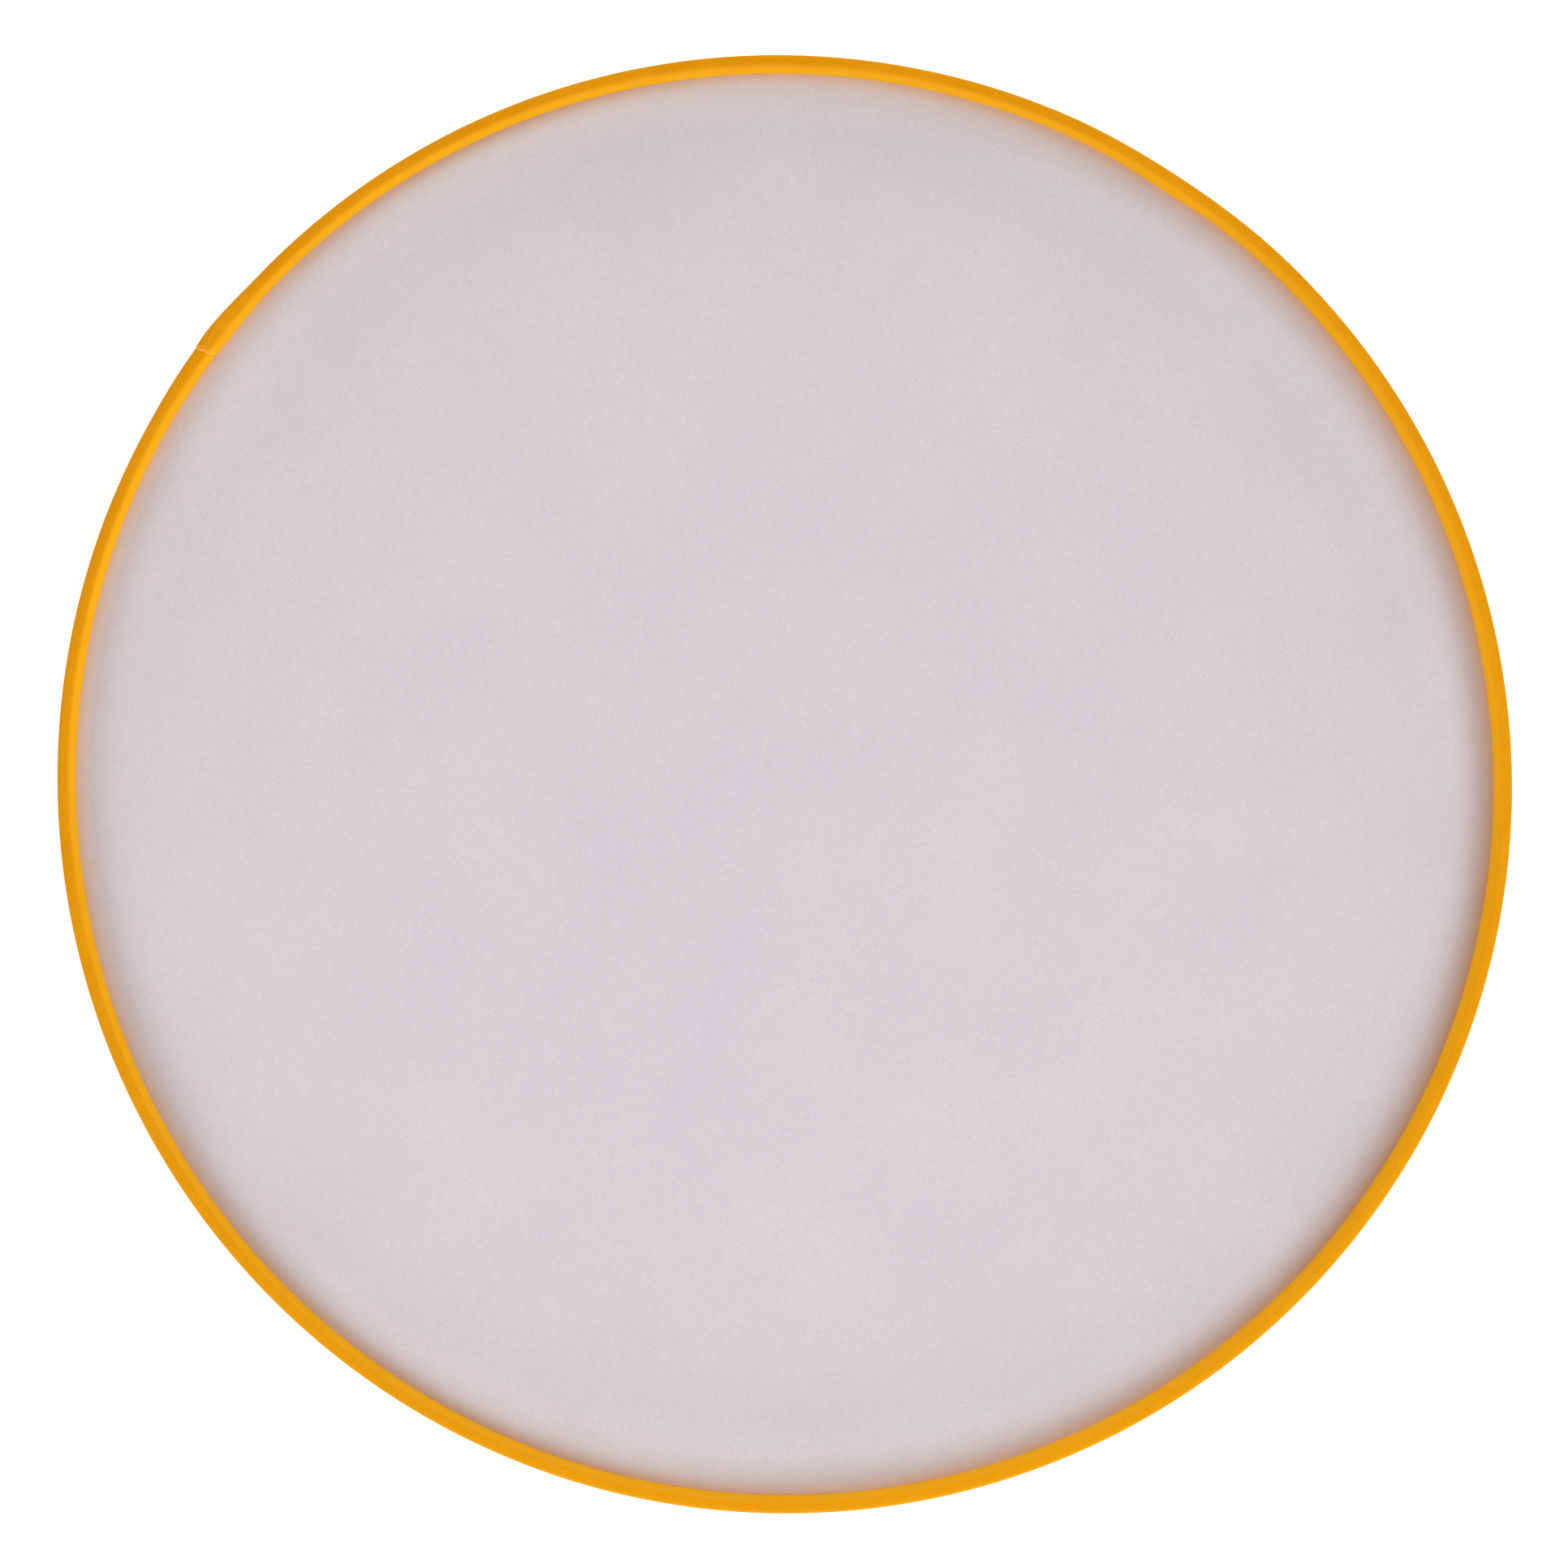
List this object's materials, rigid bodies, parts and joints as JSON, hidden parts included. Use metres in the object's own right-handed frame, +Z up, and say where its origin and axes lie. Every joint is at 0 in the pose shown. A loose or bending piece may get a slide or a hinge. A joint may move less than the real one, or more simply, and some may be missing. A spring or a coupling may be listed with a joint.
{
  "type": "flying disc",
  "caption": "Twist-fold flying disc: a tight round cloth panel held at mid-height inside a thin tape-bound rim with a flat spring-steel hoop standing on edge.",
  "frame": {"origin": "centre of the disc, on the face that it rests on", "axes": "+Z up through the disc's centre, square to the panel; the tape's lap is on the -X +Y side and the hoop's ferrule on the +X +Y side"},
  "size_m": [0.25, 0.25, 0.0105],
  "materials": {
    "panel_fabric": "matte tight-woven polyester",
    "rim_fabric": "matte woven polyester binding tape",
    "spring_steel": "rolled spring steel strip",
    "ferrule_steel": "plain pressed steel",
    "sewing_thread": "matte polyester thread"
  },
  "bodies": {
    "root": {"panel_cloth": "panel_fabric", "spring_hoop": "spring_steel", "hoop_ferrule": "ferrule_steel", "rim_tape": "rim_fabric", "needle_thread": "sewing_thread", "bobbin_thread": "sewing_thread"}
  },
  "joints": []
}
